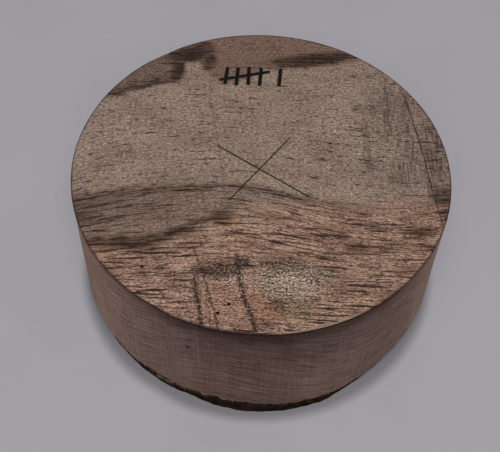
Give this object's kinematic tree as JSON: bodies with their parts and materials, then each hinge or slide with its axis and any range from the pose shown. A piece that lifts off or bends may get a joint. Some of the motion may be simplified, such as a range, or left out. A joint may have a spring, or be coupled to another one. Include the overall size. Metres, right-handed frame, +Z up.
{
  "type": "wood turning blank",
  "caption": "Rough-sawn round wood blank for bowl turning, with dark bark underneath that shows at its lower front edge, and a hand-drawn centre cross.",
  "frame": {"origin": "centre of the sawn disc on its underside", "axes": "+Z up, square to the top and the underside; +X along the grain; the bark reaches the rim on the -Y side"},
  "size_m": [0.2, 0.2, 0.082],
  "materials": {
    "turning_blank": "rough-sawn, weathered"
  },
  "bodies": {
    "root": {"turning_blank": "turning_blank"}
  },
  "joints": []
}
